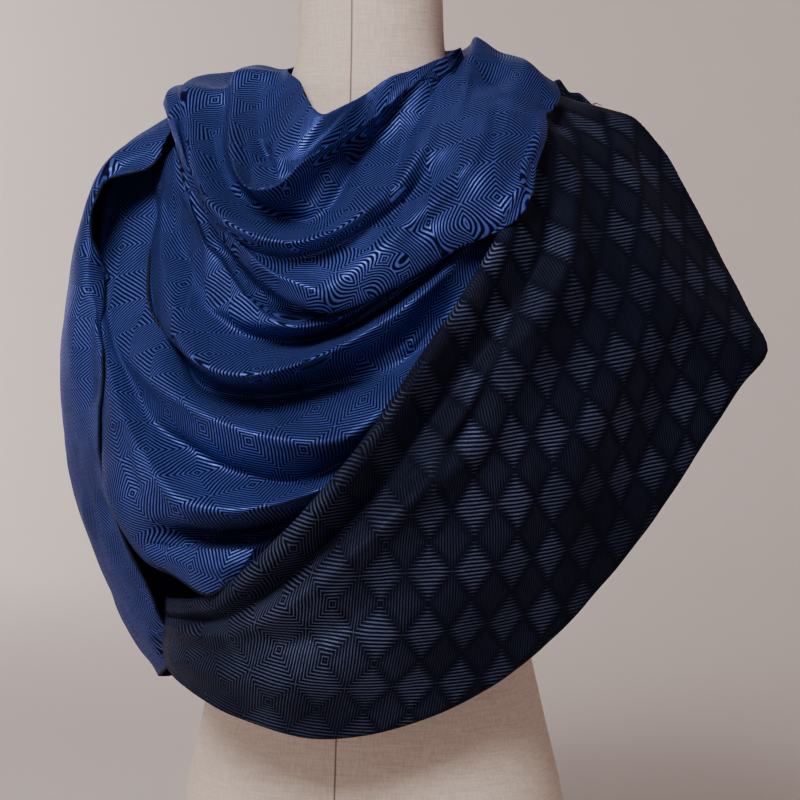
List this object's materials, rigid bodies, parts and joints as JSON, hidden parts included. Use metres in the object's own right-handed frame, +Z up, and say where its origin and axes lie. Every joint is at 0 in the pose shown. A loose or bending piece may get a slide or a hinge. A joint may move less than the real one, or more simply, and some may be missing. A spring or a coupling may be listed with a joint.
{
  "type": "shawl on a dress form",
  "caption": "Large two-faced silk shawl wound round the neck and shoulders of a limbless dress form, with a cowl, hanging swags and a dark panel over one shoulder.",
  "frame": {"origin": "centre of the underside of the dress form's round base", "axes": "+Z up along the post and the neck; the dress form faces -Y, so its left arm side is at +X"},
  "size_m": [0.5261, 0.376, 0.8543],
  "materials": {
    "silk_blue_face": "soft sheen, light blue diamond twill on navy",
    "silk_dark_face": "soft sheen, dotted grey-blue diamond twill on near black",
    "linen_cover": "natural linen",
    "waxed_wood": "waxed"
  },
  "bodies": {
    "root": {"neck_cowl": "silk_blue_face", "front_drape": "silk_blue_face", "back_wrap": "silk_blue_face", "tucked_corner": "silk_blue_face", "dark_front": "silk_dark_face", "shoulder_bunch": "silk_dark_face", "form_torso": "linen_cover", "form_neck_cap": "waxed_wood", "form_post": "waxed_wood", "form_base": "waxed_wood"}
  },
  "joints": []
}
